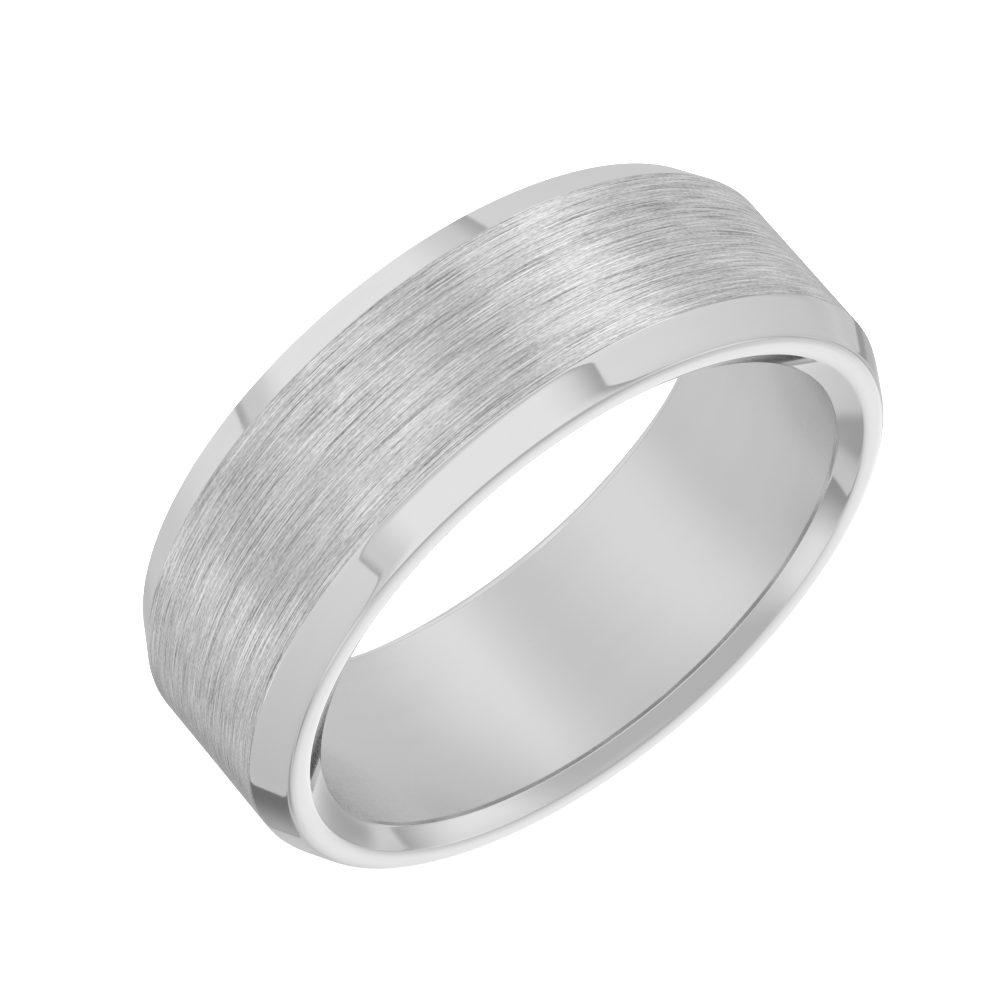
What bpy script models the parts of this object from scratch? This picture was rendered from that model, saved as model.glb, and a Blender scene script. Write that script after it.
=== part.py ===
"""Wedding band, 8 mm wide, for a finger of US size 10.

The ring stands upright: its axis is world Y, its front end face looks along -Y,
and the origin is the centre of the bore.  Four turned pieces make it up.  A bore
sleeve carries the centre band, and an edge ring is pressed over each end of the
sleeve, with a spigot that laps under the centre band.

Local frame of every turned piece: Z is the ring's axis, +Z towards the front.
"""
import math

import bpy

MM = 0.001

# Driving dimensions
BAND_WIDTH = 8.0 * MM
BORE_RADIUS = 9.88 * MM
OUTER_RADIUS = 12.05 * MM

# Brushed centre band
CENTRE_HALF_WIDTH = 2.75 * MM

# Polished edge rings, given as radius and height from the middle of the ring
BEVEL_END_RADIUS = 11.43 * MM
BEVEL_END_HEIGHT = 3.90 * MM
RIM_CREST_RADIUS = 11.03 * MM
RIM_LAND_WIDTH = 0.10 * MM
RIM_INNER_RADIUS = 10.60 * MM
RIM_INNER_HEIGHT = 3.93 * MM
FLARE_FOOT_RADIUS = 9.92 * MM
FLARE_FOOT_HEIGHT = 3.53 * MM

# The rim's dome falls off with the square of the way to its edge, and with a high power close to it
RIM_CORNER_SHARE = 0.2
RIM_CORNER_POWER = 8
RIM_ARC_POINTS = 5

# Joints
FIT_GAP = 0.03 * MM
SLEEVE_OUTER_RADIUS = 10.75 * MM
SLEEVE_HALF_LENGTH = 3.38 * MM
SLEEVE_LEAD_IN = 0.12 * MM
SPIGOT_OUTER_RADIUS = 11.32 * MM
SPIGOT_LENGTH = 0.50 * MM

# An even count that four does not divide puts a facet, not a corner, at the lowest point
SEGMENTS = 98
SMOOTH_LIMIT = math.radians(12.0)

HALF_WIDTH = BAND_WIDTH / 2
COLLECTION_NAME = "wedding_band"


def clear_scene():
    """Remove every object of the open scene."""
    for old in list(bpy.data.objects):
        bpy.data.objects.remove(old, do_unlink=True)


def metal(name, grey, roughness):
    """White metal, plain grey, with its own roughness."""
    material = bpy.data.materials.new(name)
    material.use_nodes = True
    shader = material.node_tree.nodes["Principled BSDF"]
    shader.inputs["Base Color"].default_value = (grey, grey, grey, 1.0)
    shader.inputs["Metallic"].default_value = 1.0
    shader.inputs["Roughness"].default_value = roughness
    return material


def rim_dome(edge_radius, edge_height, land_radius):
    """One side of the rim's dome, from its edge up to the narrow flat land of the crest."""
    points = []
    for index in range(RIM_ARC_POINTS + 1):
        reach = math.cos(index / RIM_ARC_POINTS * math.pi / 2)
        fall = (1 - RIM_CORNER_SHARE) * reach ** 2 + RIM_CORNER_SHARE * reach ** RIM_CORNER_POWER
        radius = land_radius + (edge_radius - land_radius) * reach
        height = HALF_WIDTH - (HALF_WIDTH - edge_height) * fall
        points.append((radius, height))
    return points


def centre_band_profile():
    """Flat band, rebated inside each end for the spigots of the edge rings."""
    bore = SLEEVE_OUTER_RADIUS + FIT_GAP
    rebate = SPIGOT_OUTER_RADIUS + FIT_GAP
    shoulder = CENTRE_HALF_WIDTH - SPIGOT_LENGTH
    front_half = [
        (bore, shoulder),
        (rebate, shoulder),
        (rebate, CENTRE_HALF_WIDTH),
        (OUTER_RADIUS, CENTRE_HALF_WIDTH),
    ]
    rear_half = [(radius, -height) for radius, height in reversed(front_half)]
    return front_half + rear_half


def bore_sleeve_profile():
    """Plain tube with a lead-in chamfer at each outer end."""
    front_half = [
        (BORE_RADIUS, SLEEVE_HALF_LENGTH),
        (SLEEVE_OUTER_RADIUS - SLEEVE_LEAD_IN, SLEEVE_HALF_LENGTH),
        (SLEEVE_OUTER_RADIUS, SLEEVE_HALF_LENGTH - SLEEVE_LEAD_IN),
    ]
    rear_half = [(radius, -height) for radius, height in reversed(front_half)]
    return front_half + rear_half


def edge_ring_profile():
    """Front edge ring: domed rim, bevel, spigot, socket for the sleeve, lip and inner flare."""
    seat = CENTRE_HALF_WIDTH + FIT_GAP
    socket_radius = SLEEVE_OUTER_RADIUS + FIT_GAP
    socket_floor = SLEEVE_HALF_LENGTH + FIT_GAP
    spigot_end = CENTRE_HALF_WIDTH - SPIGOT_LENGTH + FIT_GAP
    land_outer = RIM_CREST_RADIUS + RIM_LAND_WIDTH / 2
    land_inner = RIM_CREST_RADIUS - RIM_LAND_WIDTH / 2
    points = rim_dome(BEVEL_END_RADIUS, BEVEL_END_HEIGHT, land_outer)[::-1]
    points += [
        (OUTER_RADIUS, seat),
        (SPIGOT_OUTER_RADIUS, seat),
        (SPIGOT_OUTER_RADIUS, spigot_end),
        (socket_radius, spigot_end),
        (socket_radius, socket_floor),
        (BORE_RADIUS, socket_floor),
        (FLARE_FOOT_RADIUS, FLARE_FOOT_HEIGHT),
    ]
    points += rim_dome(RIM_INNER_RADIUS, RIM_INNER_HEIGHT, land_inner)
    return points


def turned_piece(name, profile, material, collection, facing_front=True):
    """Closed profile turned about the ring's axis with a Screw modifier."""
    mesh = bpy.data.meshes.new(name)
    vertices = [(radius, 0.0, height) for radius, height in profile]
    edges = [(index, (index + 1) % len(profile)) for index in range(len(profile))]
    mesh.from_pydata(vertices, edges, [])
    mesh.materials.append(material)
    piece = bpy.data.objects.new(name, mesh)
    collection.objects.link(piece)
    screw = piece.modifiers.new("turn", "SCREW")
    screw.axis = "Z"
    screw.angle = 2 * math.pi
    screw.steps = SEGMENTS
    screw.render_steps = SEGMENTS
    screw.use_merge_vertices = True
    screw.merge_threshold = 0.1 * FIT_GAP
    screw.use_smooth_shade = True
    quarter_turn = math.pi / 2
    piece.rotation_euler = (quarter_turn if facing_front else -quarter_turn, 0.0, 0.0)
    return piece


def shade_with_crisp_edges(piece):
    """Bake the turned shape, then keep round surfaces smooth and corners crisp."""
    graph = bpy.context.evaluated_depsgraph_get()
    turned = bpy.data.meshes.new_from_object(piece.evaluated_get(graph))
    old = piece.data
    piece.modifiers.clear()
    piece.data = turned
    bpy.data.meshes.remove(old)
    turned.name = piece.name
    turned.set_sharp_from_angle(angle=SMOOTH_LIMIT)


def main():
    clear_scene()
    collection = bpy.data.collections.new(COLLECTION_NAME)
    bpy.context.scene.collection.children.link(collection)

    brushed = metal("brushed_white_metal", 0.62, 0.34)
    polished_edge = metal("polished_edge_white_metal", 0.74, 0.07)
    polished_bore = metal("polished_bore_white_metal", 0.70, 0.12)

    pieces = [
        turned_piece("centre_band", centre_band_profile(), brushed, collection),
        turned_piece("bore_sleeve", bore_sleeve_profile(), polished_bore, collection),
        turned_piece("front_edge_ring", edge_ring_profile(), polished_edge, collection),
        turned_piece("rear_edge_ring", edge_ring_profile(), polished_edge, collection,
                     facing_front=False),
    ]
    bpy.context.view_layer.update()
    for piece in pieces:
        shade_with_crisp_edges(piece)


main()
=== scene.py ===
"""Studio picture of a wedding band: brushed centre band, polished bevelled edge rings, polished bore.

The ring stands upright with its axis along world Y and its front face towards -Y.  Lengths are metres.
"""
import math

import bpy
import numpy as np
from mathutils import Matrix, Vector


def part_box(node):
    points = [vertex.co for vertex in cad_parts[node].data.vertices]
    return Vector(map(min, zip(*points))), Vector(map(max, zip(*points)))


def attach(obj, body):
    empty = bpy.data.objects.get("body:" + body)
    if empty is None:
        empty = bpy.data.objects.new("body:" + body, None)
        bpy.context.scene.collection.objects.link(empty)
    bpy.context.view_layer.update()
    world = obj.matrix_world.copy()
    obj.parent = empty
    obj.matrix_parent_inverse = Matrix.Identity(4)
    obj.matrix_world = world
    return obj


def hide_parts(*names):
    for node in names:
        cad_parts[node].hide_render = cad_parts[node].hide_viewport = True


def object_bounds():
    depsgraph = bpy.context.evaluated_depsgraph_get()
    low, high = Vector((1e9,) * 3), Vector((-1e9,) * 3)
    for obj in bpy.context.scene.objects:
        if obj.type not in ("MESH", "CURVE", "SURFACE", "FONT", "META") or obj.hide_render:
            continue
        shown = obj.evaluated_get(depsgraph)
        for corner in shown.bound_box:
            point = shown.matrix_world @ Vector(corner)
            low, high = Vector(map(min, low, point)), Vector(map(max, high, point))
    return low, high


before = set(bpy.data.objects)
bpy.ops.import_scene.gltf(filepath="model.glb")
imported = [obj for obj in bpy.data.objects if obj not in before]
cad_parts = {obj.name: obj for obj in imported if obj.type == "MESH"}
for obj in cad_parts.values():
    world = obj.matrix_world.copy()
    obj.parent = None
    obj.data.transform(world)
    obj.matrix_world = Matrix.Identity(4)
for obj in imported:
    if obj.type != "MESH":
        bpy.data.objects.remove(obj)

cad_low, cad_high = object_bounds()

MM = 0.001

# ---------------------------------------------------------------- dimensions
# A point is given as its radius and its height from the middle of the ring.
# The CAD's facets stop just inside its radius at the top, and the turned pieces keep within that.
OUTER_RADIUS = cad_high.z
HALF_WIDTH = cad_high.y
CENTRE_HALF_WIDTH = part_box("centre_band")[1][1]
SLEEVE_OUTER_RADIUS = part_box("bore_sleeve")[1][0]
SLEEVE_HALF_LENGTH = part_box("bore_sleeve")[1][1]
BORE_RADIUS = 9.88 * MM
BEVEL_END = (11.43 * MM, 3.90 * MM)
RIM_LAND_OUTER = (11.08 * MM, HALF_WIDTH)
RIM_LAND_INNER = (10.98 * MM, HALF_WIDTH)
RIM_INNER = (10.60 * MM, 3.93 * MM)
FLARE_FOOT = (9.90 * MM, 3.518 * MM)
SPIGOT_OUTER_RADIUS = 11.32 * MM
SPIGOT_LENGTH = 0.50 * MM
SLEEVE_LEAD_IN = 0.12 * MM

# Play of the pressed and lapped faces inside the wall, and the finer gap of the seams that show
FIT_GAP = 0.03 * MM
SEAM_GAP = 0.003 * MM

# Radius of the rounding at each corner that shows, and the chamfer of the centre band's edges
BEVEL_SHOULDER_ROUND = 0.015 * MM
LIP_ROUND = 0.005 * MM
FLARE_FOOT_ROUND = 0.03 * MM
SLEEVE_EDGE_ROUND = 0.005 * MM
BAND_EDGE_CHAMFER = 0.012 * MM

# The rim's dome falls off with the square of the way to its edge, and with a high power close to it
RIM_CORNER_SHARE = 0.2
RIM_CORNER_POWER = 8

# Depth of the very slightly hollow flare in its middle
FLARE_HOLLOW = 0.008 * MM

# Slight rounding that polishing leaves at both ends of the front bevel
EASE_LENGTH = 0.28 * MM
EASE_TURN = math.radians(11.0)

# Steps of the curves in an outline, and of the turn round the axis
CORNER_STEPS = 5
RIM_STEPS = 14
FLARE_STEPS = 12
EASE_STEPS = 8
TURN_STEPS = 480

# Edges that turn more than this are shaded as corners
CREASE_ANGLE = math.radians(20.0)

# Points are added this far from both ends of a straight run, if the run is long enough
SUPPORT = 0.012 * MM
SUPPORTED_RUN = 8 * SUPPORT

# Brush marks: rows across the band, reach of one mark round it in turn steps, depth of one deviation,
# and how many deviations the uncut face lies above the mean mark
BRUSH_ROWS = 156
BRUSH_REACH = 2.5
BRUSH_DEPTH = 0.0009 * MM
BRUSH_FACE_LEVEL = 2.5
BRUSH_SEED = 41


# ---------------------------------------------------------------- geometry
def rounded_corner(before, corner, after, radius):
    """Points of an arc that rounds a corner with that radius."""
    corner = Vector(corner)
    to_before = (Vector(before) - corner).normalized()
    to_after = (Vector(after) - corner).normalized()
    half = to_before.angle(to_after) / 2
    run = radius / math.tan(half)
    centre = corner + (to_before + to_after).normalized() * (radius / math.sin(half))
    first = corner + to_before * run - centre
    last = corner + to_after * run - centre
    sweep = first.angle(last)
    points = []
    for step in range(CORNER_STEPS + 1):
        share = step / CORNER_STEPS
        blend = first * math.sin((1 - share) * sweep) + last * math.sin(share * sweep)
        points.append(tuple(centre + blend / math.sin(sweep)))
    return points


def rim_dome(edge, land):
    """One side of the rim's dome, from its edge up to the narrow flat land of the crest."""
    points = []
    for step in range(RIM_STEPS + 1):
        reach = math.cos(step / RIM_STEPS * math.pi / 2)
        fall = (1 - RIM_CORNER_SHARE) * reach ** 2 + RIM_CORNER_SHARE * reach ** RIM_CORNER_POWER
        points.append((land[0] + (edge[0] - land[0]) * reach, land[1] + (edge[1] - land[1]) * fall))
    return points


def hollow_flare():
    """Points of the flare from its foot to the rim, both ends left out."""
    run = Vector(RIM_INNER) - Vector(FLARE_FOOT)
    into_metal = Vector((run.y, -run.x)).normalized()
    points = []
    for step in range(1, FLARE_STEPS):
        way = step / FLARE_STEPS
        hollow = into_metal * FLARE_HOLLOW * 4 * way * (1 - way)
        points.append(tuple(Vector(FLARE_FOOT) + run * way + hollow))
    return points


def eased_bevel(start, end):
    """Bevel from start to end whose two ends curve away more and more towards the corners."""
    along = (Vector(end) - Vector(start)).normalized()
    outward = Vector((-along.y, along.x))
    # A slope that falls off with the square of the way adds up to a third of its first value
    drop = math.tan(EASE_TURN) * EASE_LENGTH / 3
    near_start = []
    near_end = []
    for step in range(EASE_STEPS + 1):
        reach = EASE_LENGTH * step / EASE_STEPS
        sag = drop * (1 - step / EASE_STEPS) ** 3
        near_start.append(tuple(Vector(start) + along * reach + outward * (drop - sag)))
        near_end.append(tuple(Vector(end) - along * reach + outward * (drop - sag)))
    return near_start + near_end[::-1]


def with_support(outline):
    """Adds a point close to both ends of every long straight run, which keeps its shading flat."""
    result = []
    for index, point in enumerate(outline):
        here = Vector(point)
        following = Vector(outline[(index + 1) % len(outline)])
        run = following - here
        result.append(tuple(here))
        if run.length > SUPPORTED_RUN:
            step = run.normalized() * SUPPORT
            result.append(tuple(here + step))
            result.append(tuple(following - step))
    return result


def mirrored(front_half):
    """Rear half of an outline that is the same at both ends."""
    return [(radius, -height) for radius, height in reversed(front_half)]


def edge_ring_outline(eased):
    """Domed rim, bevel, spigot, socket for the sleeve, bore lip and flare of one edge ring."""
    seat = (OUTER_RADIUS, CENTRE_HALF_WIDTH + SEAM_GAP)
    seat_inner = (SPIGOT_OUTER_RADIUS, CENTRE_HALF_WIDTH + SEAM_GAP)
    spigot_end = CENTRE_HALF_WIDTH - SPIGOT_LENGTH + FIT_GAP
    socket_radius = SLEEVE_OUTER_RADIUS + FIT_GAP
    socket_corner = (socket_radius, SLEEVE_HALF_LENGTH + SEAM_GAP)
    lip = (BORE_RADIUS, SLEEVE_HALF_LENGTH + SEAM_GAP)
    bevel = eased_bevel(BEVEL_END, seat) if eased else [BEVEL_END, seat]
    flare = hollow_flare()
    outline = rim_dome(BEVEL_END, RIM_LAND_OUTER)[::-1]
    outline += bevel[1:-1]
    outline += rounded_corner(bevel[-2], seat, seat_inner, BEVEL_SHOULDER_ROUND)
    outline += [
        seat_inner,
        (SPIGOT_OUTER_RADIUS, spigot_end),
        (socket_radius, spigot_end),
        socket_corner,
    ]
    outline += rounded_corner(socket_corner, lip, FLARE_FOOT, LIP_ROUND)
    outline += rounded_corner(lip, FLARE_FOOT, flare[0], FLARE_FOOT_ROUND)
    outline += flare
    outline += rim_dome(RIM_INNER, RIM_LAND_INNER)
    return with_support(outline)


def sleeve_outline():
    """Bore tube with a rounded inner edge and a lead-in chamfer at each end."""
    corner = (BORE_RADIUS, SLEEVE_HALF_LENGTH)
    chamfer = (SLEEVE_OUTER_RADIUS - SLEEVE_LEAD_IN, SLEEVE_HALF_LENGTH)
    front_half = rounded_corner((BORE_RADIUS, 0.0), corner, chamfer, SLEEVE_EDGE_ROUND)
    front_half += [chamfer, (SLEEVE_OUTER_RADIUS, SLEEVE_HALF_LENGTH - SLEEVE_LEAD_IN)]
    return with_support(front_half + mirrored(front_half))


def centre_band_outline():
    """Rebated band, one point for every row of brush marks, and the place of the first of them."""
    bore = SLEEVE_OUTER_RADIUS + FIT_GAP
    rebate = SPIGOT_OUTER_RADIUS + FIT_GAP
    shoulder = CENTRE_HALF_WIDTH - SPIGOT_LENGTH
    front_half = [
        (bore, shoulder),
        (rebate, shoulder),
        (rebate, CENTRE_HALF_WIDTH),
        (OUTER_RADIUS - BAND_EDGE_CHAMFER, CENTRE_HALF_WIDTH),
    ]
    face_end = CENTRE_HALF_WIDTH - BAND_EDGE_CHAMFER
    face = [(OUTER_RADIUS, face_end - 2 * face_end * row / (BRUSH_ROWS - 1)) for row in range(BRUSH_ROWS)]
    return front_half + face + mirrored(front_half), len(front_half)


def brush_marks():
    """Depth of the brush marks, rows across the band by steps round it, never above the face."""
    rng = np.random.default_rng(BRUSH_SEED)
    noise = rng.standard_normal((BRUSH_ROWS, TURN_STEPS))
    turns = np.fft.fftfreq(TURN_STEPS) * 2 * math.pi
    smooth = np.exp(-0.5 * (turns * BRUSH_REACH) ** 2)
    marks = np.real(np.fft.ifft(np.fft.fft(noise, axis=1) * smooth, axis=1))
    marks /= marks.std()
    return np.minimum(BRUSH_DEPTH * (marks - BRUSH_FACE_LEVEL), 0.0)


def turned_mesh(name, radius, height, facing_front=True):
    """Closed outline turned about Y; its height runs to -Y when facing front.

    The radius is given per outline point, and may also differ from one turn step to the next.
    """
    side = -1.0 if facing_front else 1.0
    count = len(height)
    turns = np.arange(TURN_STEPS) * (2 * math.pi / TURN_STEPS)
    vertices = np.empty((TURN_STEPS, count, 3))
    vertices[:, :, 0] = np.cos(turns)[:, None] * radius
    vertices[:, :, 1] = side * height
    vertices[:, :, 2] = np.sin(turns)[:, None] * radius
    here = np.arange(TURN_STEPS)[:, None] * count
    there = np.roll(np.arange(TURN_STEPS), -1)[:, None] * count
    along = np.arange(count)[None, :]
    ahead = np.roll(np.arange(count), -1)[None, :]
    faces = np.stack([here + along, here + ahead, there + ahead, there + along], axis=-1)
    if not facing_front:
        faces = faces[:, :, ::-1]
    mesh = bpy.data.meshes.new(name)
    mesh.from_pydata(vertices.reshape(-1, 3).tolist(), [], faces.reshape(-1, 4).tolist())
    mesh.update()
    mesh.shade_smooth()
    mesh.set_sharp_from_angle(angle=CREASE_ANGLE)
    return mesh


def turned_piece(name, outline, material, facing_front=True, cuts=None):
    """Turned piece of one material; cuts are (first point, depths) of marks in its surface."""
    radius = np.array([point[0] for point in outline])
    height = np.array([point[1] for point in outline])
    if cuts:
        first, depths = cuts
        radius = np.tile(radius, (TURN_STEPS, 1))
        radius[:, first:first + len(depths)] += depths.T
    mesh = turned_mesh(name, radius, height, facing_front)
    mesh.materials.append(material)
    piece = bpy.data.objects.new(name, mesh)
    bpy.context.scene.collection.objects.link(piece)
    return piece


# ---------------------------------------------------------------- materials
class Shader:
    """Small helper that adds nodes to a tree and links them."""

    def __init__(self, tree):
        self.tree = tree

    def feed(self, socket, value):
        """Links a socket's value, or sets a constant directly."""
        if isinstance(value, bpy.types.NodeSocket):
            self.tree.links.new(value, socket)
        else:
            socket.default_value = value

    def math(self, operation, first, second):
        made = self.tree.nodes.new("ShaderNodeMath")
        made.operation = operation
        self.feed(made.inputs[0], first)
        self.feed(made.inputs[1], second)
        return made.outputs[0]

    def blend(self, *parts):
        """Sum of (value, share) parts."""
        total = None
        for value, share in parts:
            term = self.math("MULTIPLY", value, share)
            total = term if total is None else self.math("ADD", total, term)
        return total

    def dot(self, first, second):
        made = self.tree.nodes.new("ShaderNodeVectorMath")
        made.operation = "DOT_PRODUCT"
        self.feed(made.inputs[0], first)
        self.feed(made.inputs[1], second)
        return made.outputs["Value"]

    def noise(self, coordinates, cells, detail, roughness):
        """Noise with that many cells per metre: along the ring's axis, and in the ring's plane."""
        across, along = cells
        stretched = self.tree.nodes.new("ShaderNodeVectorMath")
        stretched.operation = "MULTIPLY"
        self.feed(stretched.inputs[0], coordinates)
        stretched.inputs[1].default_value = (along, across, along)
        made = self.tree.nodes.new("ShaderNodeTexNoise")
        self.feed(made.inputs["Vector"], stretched.outputs[0])
        made.inputs["Scale"].default_value = 1.0
        made.inputs["Detail"].default_value = detail
        made.inputs["Roughness"].default_value = roughness
        return made.outputs[0]

    def remap(self, value, old_range, new_range, smooth=False):
        """Value moved from one range to the other, and kept within it."""
        made = self.tree.nodes.new("ShaderNodeMapRange")
        if smooth:
            made.interpolation_type = "SMOOTHSTEP"
        self.feed(made.inputs[0], value)
        for socket, number in zip(made.inputs[1:5], (*old_range, *new_range)):
            self.feed(socket, number)
        return made.outputs[0]

    def mix(self, share, first, second, label=""):
        """First value at share 0, second at share 1; inputs 0, 2 and 3 are a Mix node's numbers."""
        made = self.tree.nodes.new("ShaderNodeMix")
        made.label = label
        self.feed(made.inputs[0], share)
        self.feed(made.inputs[2], first)
        self.feed(made.inputs[3], second)
        return made.outputs[0]

    def grey(self, value):
        """Colour with that value in all three channels."""
        made = self.tree.nodes.new("ShaderNodeCombineColor")
        for socket in made.inputs[:3]:
            self.feed(socket, value)
        return made.outputs[0]

    def bump(self, height, distance):
        made = self.tree.nodes.new("ShaderNodeBump")
        made.inputs["Strength"].default_value = 1.0
        made.inputs["Distance"].default_value = distance
        self.feed(made.inputs["Height"], height)
        return made.outputs[0]


def new_metal(name):
    """New metallic material, the helper for its tree, its main shader and its coordinates."""
    material = bpy.data.materials.new(name)
    material.use_nodes = True
    tree = material.node_tree
    principled = tree.nodes["Principled BSDF"]
    principled.inputs["Metallic"].default_value = 1.0
    coordinates = tree.nodes.new("ShaderNodeTexCoord").outputs["Object"]
    return material, Shader(tree), principled, coordinates


# Brushing: cells per metre across and along the marks, from fine grain to broad drifts of tone, then of
# the painted groove shade and painted glints
GRAIN_CELLS = (30000.0, 6000.0)
HAIR_CELLS = (26000.0, 800.0)
LONG_MARK_CELLS = (18000.0, 220.0)
DRIFT_CELLS = (2600.0, 60.0)
GROOVE_SHADE_CELLS = (26000.0, 420.0)
PAINTED_GLINT_CELLS = (27000.0, 500.0)

# Shares of hair and long marks in the marks, then of marks, grain and drift in the shade
HAIR_SHARE = 0.55
LONG_MARK_SHARE = 0.45
MARKS_SHARE = 0.62
GRAIN_SHARE = 0.30
DRIFT_SHARE = 0.08

# Only the peaks of the noise make a dark line of painted groove shade or a painted bright glint, each of
# this strength
GROOVE_SHADE_PEAKS = (0.60, 0.70)
PAINTED_GLINT_PEAKS = (0.62, 0.72)
PAINTED_SHADE_AND_GLINT_STRENGTH = 0.28

# The shade's usual span, the tones it becomes, and the limits of tone after the painted groove shade and
# painted glints
SHADE_SPAN = (0.34, 0.66)
BRUSHED_TONES = (0.45, 0.95)
BRUSHED_LIMITS = (0.12, 1.0)

LONG_MARK_SPAN = (0.3, 0.7)
BRUSHED_ROUGHNESS = (0.28, 0.36)
BRUSHED_ANISOTROPY = 0.9
QUARTER_TURN = 0.25
BRUSHED_BUMP = 0.006 * MM


def brushed_metal():
    """Circular brushing: hair-fine bright and dark marks of mixed length that run round the ring, with
    painted groove shade and painted glints among them.
    """
    material, shader, principled, where = new_metal("brushed_white_metal")
    grain = shader.noise(where, GRAIN_CELLS, detail=0.0, roughness=0.5)
    hair = shader.noise(where, HAIR_CELLS, detail=1.0, roughness=0.6)
    long_mark = shader.noise(where, LONG_MARK_CELLS, detail=1.0, roughness=0.6)
    drift = shader.noise(where, DRIFT_CELLS, detail=1.0, roughness=0.5)
    groove_shade_noise = shader.noise(where, GROOVE_SHADE_CELLS, detail=0.0, roughness=0.5)
    painted_glint_noise = shader.noise(where, PAINTED_GLINT_CELLS, detail=0.0, roughness=0.5)
    marks = shader.blend((hair, HAIR_SHARE), (long_mark, LONG_MARK_SHARE))
    shade = shader.blend((marks, MARKS_SHARE), (grain, GRAIN_SHARE), (drift, DRIFT_SHARE))
    tone = shader.remap(shade, SHADE_SPAN, BRUSHED_TONES)
    # Thin lines of painted shade for the grooves and of painted highlight for the glints, both in the base
    # colour
    painted_groove_shade = shader.remap(groove_shade_noise, GROOVE_SHADE_PEAKS, (0.0, PAINTED_SHADE_AND_GLINT_STRENGTH))
    painted_glint = shader.remap(painted_glint_noise, PAINTED_GLINT_PEAKS, (0.0, PAINTED_SHADE_AND_GLINT_STRENGTH))
    tone = shader.math("SUBTRACT", tone, painted_groove_shade)
    tone = shader.math("ADD", tone, painted_glint)
    tone = shader.remap(tone, BRUSHED_LIMITS, BRUSHED_LIMITS)
    tangent = shader.tree.nodes.new("ShaderNodeTangent")
    tangent.direction_type = "RADIAL"
    tangent.axis = "Y"
    shader.feed(principled.inputs["Base Color"], shader.grey(tone))
    shader.feed(principled.inputs["Roughness"], shader.remap(long_mark, LONG_MARK_SPAN, BRUSHED_ROUGHNESS))
    shader.feed(principled.inputs["Anisotropic"], BRUSHED_ANISOTROPY)
    shader.feed(principled.inputs["Anisotropic Rotation"], QUARTER_TURN)
    shader.feed(principled.inputs["Tangent"], tangent.outputs[0])
    shader.feed(principled.inputs["Normal"], shader.bump(marks, BRUSHED_BUMP))
    return material


# Polishing: cells per metre across and along, the peaks that make a scratch, and what each changes
HAZE_CELLS = (1400.0, 260.0)
HAIRLINE_CELLS = (16000.0, 500.0)
HAZE_SPAN = (0.3, 0.7)
HAZE_TONE = 0.008
SCRATCH_PEAKS = (0.66, 0.74)
SCRATCH_TONE = 0.012
SCRATCH_ROUGHNESS = 0.03
POLISHED_BUMP = 0.00004 * MM

# Grey of both polished metals, and how rough each is with its spread to either side
POLISHED_TONE = 0.76
EDGE_ROUGHNESS = 0.05
EDGE_SPREAD = 0.015
BORE_ROUGHNESS = 0.24
BORE_SPREAD = 0.02


def polished_metal(name, roughness, spread):
    """Mirror polish with the faint circular haze and hairlines that a polishing wheel leaves."""
    material, shader, principled, where = new_metal(name)
    haze = shader.noise(where, HAZE_CELLS, detail=3.0, roughness=0.6)
    hairline = shader.noise(where, HAIRLINE_CELLS, detail=2.0, roughness=0.6)
    scratch = shader.remap(hairline, SCRATCH_PEAKS, (0.0, 1.0))
    tone = shader.remap(haze, HAZE_SPAN, (POLISHED_TONE - HAZE_TONE, POLISHED_TONE + HAZE_TONE))
    tone = shader.math("SUBTRACT", tone, shader.math("MULTIPLY", scratch, SCRATCH_TONE))
    gloss = shader.remap(haze, HAZE_SPAN, (roughness - spread, roughness + spread))
    gloss = shader.math("ADD", gloss, shader.math("MULTIPLY", scratch, SCRATCH_ROUGHNESS))
    shader.feed(principled.inputs["Base Color"], shader.grey(tone))
    shader.feed(principled.inputs["Roughness"], gloss)
    shader.feed(principled.inputs["Normal"], shader.bump(hairline, POLISHED_BUMP))
    return material


# ---------------------------------------------------------------- the ring
brushed = brushed_metal()
polished_edge = polished_metal("polished_edge_white_metal", EDGE_ROUGHNESS, EDGE_SPREAD)
polished_bore = polished_metal("polished_bore_white_metal", BORE_ROUGHNESS, BORE_SPREAD)

band_outline, first_brush_row = centre_band_outline()
band = turned_piece("brushed_centre_band", band_outline, brushed, cuts=(first_brush_row, brush_marks()))
front_ring = turned_piece("front_polished_edge", edge_ring_outline(eased=True), polished_edge)
rear_ring = turned_piece("rear_polished_edge", edge_ring_outline(eased=False), polished_edge,
                         facing_front=False)
liner = turned_piece("polished_bore_liner", sleeve_outline(), polished_bore)

for piece, node, slot in (
    (band, "centre_band", "brushed_band"),
    (front_ring, "front_edge_ring", "polished_edge"),
    (rear_ring, "rear_edge_ring", "polished_edge"),
    (liner, "bore_sleeve", "polished_bore"),
):
    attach(piece, "root")
    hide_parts(node)


# ---------------------------------------------------------------- studio
# The walls of the light tent: radiance in the middle, and its change towards +X, +Y and +Z.
TENT_RADIANCE = 0.79
TENT_GRADIENT = (-0.02, 0.05, 0.18)

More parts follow.
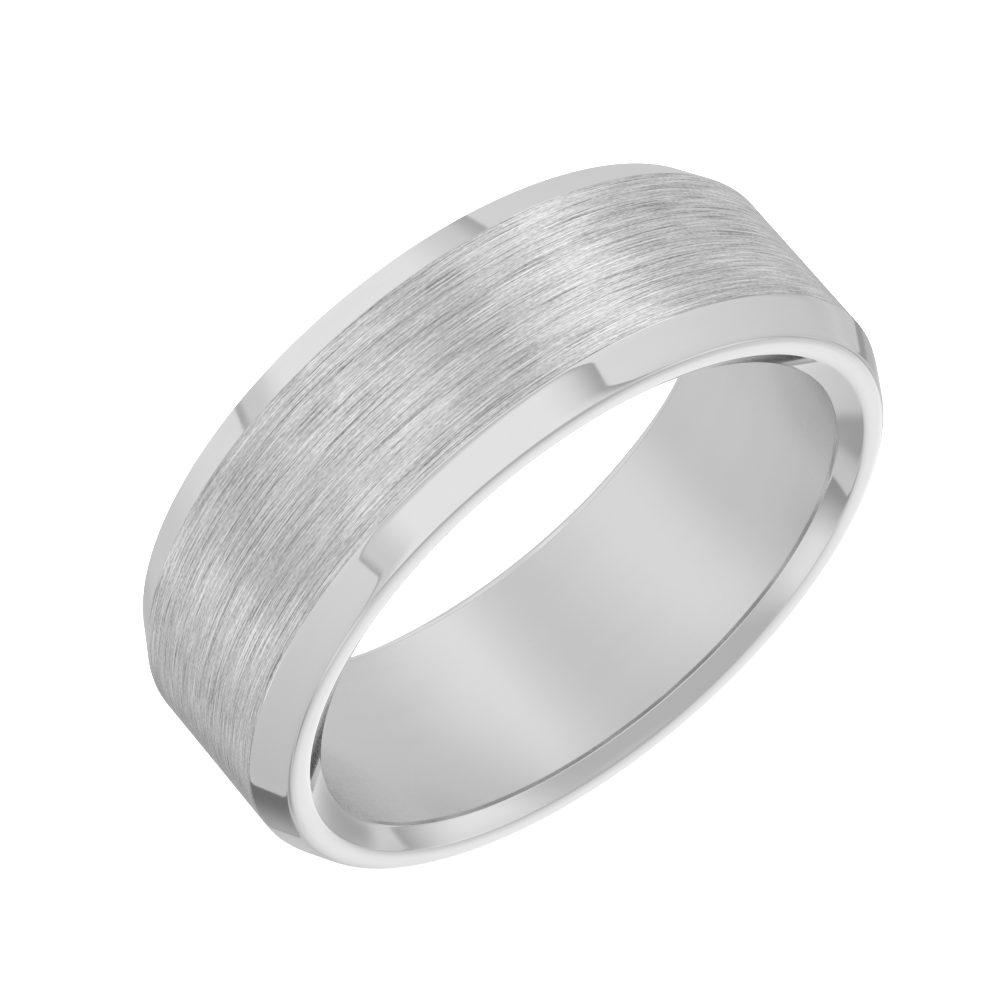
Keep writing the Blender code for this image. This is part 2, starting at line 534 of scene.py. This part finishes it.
# Softboxes and cards round the ring, each laid over those before it: four corners as azimuth (0 is -Y,
# 90 is +X) and elevation in degrees, the softness of each edge in degrees, and the radiance.
PANELS = (
    ("band_right_card", ((91, -34), (111, -33), (109, 20), (91, 22)), (6, 6, 6, 6), 0.67),
    ("band_right_softbox", ((91, 34), (111, 32), (121, 54), (92, 58)), (6, 6, 6, 6), 1.77),
    ("band_top_card", ((95, 76), (142, 68), (-148, 69), (-96, 78)), (6, 6, 6, 6), 0.10),
    ("band_top_softbox", ((-93, 70), (-133, 64), (-120, 54), (-92, 58)), (6, 6, 6, 6), 0.91),
    ("band_left_card", ((-92, 48), (-115, 46), (-108, 2), (-91, 2)), (6, 6, 6, 6), 0.36),
    ("band_left_softbox", ((-91, -8), (-108, -7), (-110, -26), (-91, -28)), (6, 6, 6, 6), 1.40),
    ("band_low_card", ((-92, -40), (-112, -37), (-135, -65), (-94, -72)), (6, 6, 6, 6), 0.66),
    ("low_front_bounce", ((3, -23), (85, -50), (83, -55), (152, -85)), (28, 26, 40, 40), 1.05),
    ("low_side_bounce", ((62, -48), (132, -52), (142, -68), (74, -83)), (14, 6, 12, 30), 1.27),
    ("low_front_card", ((17, -32), (84, -38), (68, -42), (17, -36)), (40, 12, 11, 9), 0.89),
    ("top_front_frame", ((51.5, 66), (36.5, 8), (-42.5, -6), (-72.5, 36)), (0.6, 6, 0.6, 6), 0.44),
    ("top_front_halo", ((44, 66), (30, 8), (-41, -6), (-71, 36)), (12, 6, 3, 6), 0.76),
    ("top_front_softbox", ((34, 66), (20, 8), (-28, -6), (-58, 36)), (18, 6, 12, 6), 1.00),
    ("rear_left_light", ((160, 0), (-135, 8), (-132, -18), (168, -30)), (6, 8, 18, 8), 0.89),
    ("rear_low_card", ((-176, -44), (140, -50), (140, -68), (-176, -62)), (22, 6, 8, 10), 0.56),
    ("rear_frame", ((152.5, 40), (158.5, -19.5), (-138, -2), (-150, 45)), (0.6, 0.6, 6, 6), 0.50),
    ("rear_halo", ((155, 40), (160.5, -18), (-138, -0.5), (-150, 45)), (4, 1.6, 6, 6), 0.74),
    ("rear_softbox", ((161.5, 40), (166.5, -11.5), (-138, 5), (-150, 45)), (12, 6, 6, 6), 0.98),
    ("left_low_card", ((-123, -59), (-63, -59), (-88.5, -78.5), (178, -66.5)), (0.8, 6, 2, 6), 0.20),
    ("left_low_screen", ((-158, -65.5), (-67, -70), (-84.5, -78), (177, -65.5)), (17, 6, 2, 6), 0.47),
    ("right_low_card", ((120.5, -42.5), (89, -36.5), (111, -50.5), (154, -57.5)), (1, 6, 6, 6), 0.52),
    ("right_low_strip", ((120.5, -42.5), (89, -36.5), (93.5, -40.5), (126.5, -47.5)), (1, 6, 2, 6), 0.38),
    ("flare_right_card", ((94, -61), (68, -38), (51, -27), (58, -39)), (10, 8, 5, 3), 0.47),
    ("flare_right_light", ((54.5, -42.5), (57.5, -27.5), (50, -24), (52.5, -40.5)), (5, 8, 1.7, 7), 0.78),
    ("flare_right_strip", ((53.5, -41), (49, -13.5), (43, -8.5), (46, -32)), (1.5, 8, 21, 12), 0.34),
    ("flare_front_light", ((44, -29), (46, -11), (24, -1), (29, -16)), (18, 15, 10, 5), 1.00),
    ("flare_front_card", ((33, -24), (21, 1), (-38, -1), (6, -26)), (14, 5, 8, 15), 0.58),
    ("flare_left_light", ((-12, -24), (-24, -12), (-35, -34), (-19, -42)), (9, 8, 5, 14), 0.95),
    ("flare_left_strip", ((-11.5, -44.5), (-29.5, -27), (-31, -32.5), (-9, -54.5)), (11, 8, 0.9, 7), 0.36),
    ("flare_left_glow", ((-9, -54.5), (-31, -32.5), (-33, -38), (-6, -58.5)), (0.6, 8, 3, 20), 0.72),
    ("flare_left_card", ((-12, -58), (-34, -42), (-39, -63), (-4, -65)), (3, 8, 6, 11), 0.43),
    ("rear_right_softbox", ((117, 51), (142, 53), (151, 58), (112, 60)), (7, 8, 8, 10), 1.04),
    ("rear_right_glow", ((117, -29), (105, 21), (129, 49), (128, -11)), (6, 16, 17, 7), 0.71),
    ("rear_top_strip", ((-125, 38), (-173, 60), (157, 61), (179, 74)), (8, 15, 40, 40), 0.47),
    ("rear_left_softbox", ((-113, 17), (-104, 48), (-129, 65), (-118, 16)), (11, 10, 11, 6), 1.00),
    ("rear_left_glow", ((-108, -34), (-106, 6), (-128, 10), (-130, -30)), (8, 12, 8, 10), 0.72),
)

# What the camera itself sees behind the ring
BACKDROP_WHITE = 1.0


def direction(azimuth, elevation):
    """Unit vector; azimuth 0 is -Y and 90 is +X, in degrees."""
    turn = math.radians(azimuth)
    rise = math.radians(elevation)
    return Vector((math.sin(turn) * math.cos(rise), -math.cos(turn) * math.cos(rise), math.sin(rise)))


def inside_panel(shader, where, corners, softness):
    """How far a direction lies inside a panel: 1 inside, 0 outside, and soft across each edge."""
    points = [direction(azimuth, elevation) for azimuth, elevation in corners]
    middle = sum(points, Vector())
    inside = 1.0
    for index, point in enumerate(points):
        edge = point.cross(points[(index + 1) % len(points)]).normalized()
        if edge.dot(middle) < 0:
            edge = -edge
        half = math.radians(softness[index]) / 2
        within = shader.remap(shader.dot(where, tuple(edge)), (-half, half), (0.0, 1.0), smooth=True)
        inside = shader.math("MULTIPLY", within, inside)
    return inside


def add_studio():
    """World of a light tent with softboxes and dark cards; the camera itself sees plain white."""
    world = bpy.data.worlds.new("studio")
    bpy.context.scene.world = world
    world.use_nodes = True
    tree = world.node_tree
    shader = Shader(tree)
    where = tree.nodes.new("ShaderNodeTexCoord").outputs["Generated"]
    light = shader.math("ADD", shader.dot(where, TENT_GRADIENT), TENT_RADIANCE)
    for name, corners, softness, radiance in PANELS:
        inside = inside_panel(shader, where, corners, softness)
        light = shader.mix(inside, light, radiance, label=name)
    seen = tree.nodes.new("ShaderNodeLightPath").outputs["Is Camera Ray"]
    light = shader.mix(seen, light, BACKDROP_WHITE)
    shader.feed(tree.nodes["Background"].inputs["Color"], shader.grey(light))


FLOOR_HALF_SIZE = 4.0
FLOOR_GREY = (0.9, 0.9, 0.9, 1.0)
FLOOR_ROUGHNESS = 0.9
WASH_ENERGY = 6.0
WASH_ANGLE = math.radians(150.0)


def add_floor():
    """White sweep that the ring stands on, and its own soft light; the ring mirrors neither."""
    size = FLOOR_HALF_SIZE
    corners = [(-size, -size, 0), (size, -size, 0), (size, size, 0), (-size, size, 0)]
    mesh = bpy.data.meshes.new("studio_floor")
    mesh.from_pydata(corners, [], [(0, 1, 2, 3)])
    floor = bpy.data.objects.new("studio_floor", mesh)
    floor.location.z = cad_low.z
    floor.visible_glossy = False
    bpy.context.scene.collection.objects.link(floor)
    material = bpy.data.materials.new("white_sweep")
    material.use_nodes = True
    principled = material.node_tree.nodes["Principled BSDF"]
    principled.inputs["Base Color"].default_value = FLOOR_GREY
    principled.inputs["Roughness"].default_value = FLOOR_ROUGHNESS
    principled.inputs["Specular IOR Level"].default_value = 0.0
    mesh.materials.append(material)
    wash = bpy.data.lights.new("floor_wash", "SUN")
    wash.energy = WASH_ENERGY
    wash.angle = WASH_ANGLE
    lamp = bpy.data.objects.new("floor_wash", wash)
    lamp.visible_glossy = False
    bpy.context.scene.collection.objects.link(lamp)


# Camera: direction from the ring, distance, and how far the ring's centre sits off the lens axis
CAMERA_AZIMUTH = -35.77
CAMERA_ELEVATION = 57.44
CAMERA_DISTANCE = 273.67 * MM
RING_OFFSET_RIGHT = 0.489 * MM
RING_OFFSET_DOWN = 0.615 * MM
LENS_MM = 315.9
SENSOR_WIDTH_MM = 36.0


def add_camera():
    """Camera with a long lens, as in the photo, upright with the world."""
    turn = math.radians(CAMERA_AZIMUTH)
    back = direction(CAMERA_AZIMUTH, CAMERA_ELEVATION)
    right = Vector((math.cos(turn), math.sin(turn), 0.0))
    up = back.cross(right)
    data = bpy.data.cameras.new("camera")
    data.lens = LENS_MM
    data.sensor_width = SENSOR_WIDTH_MM
    camera = bpy.data.objects.new("camera", data)
    pose = Matrix((right, up, back)).transposed().to_4x4()
    pose.translation = back * CAMERA_DISTANCE + up * RING_OFFSET_DOWN - right * RING_OFFSET_RIGHT
    camera.matrix_world = pose
    bpy.context.scene.collection.objects.link(camera)
    bpy.context.scene.camera = camera


add_studio()
add_floor()
add_camera()
bpy.context.scene.view_settings.view_transform = "Standard"
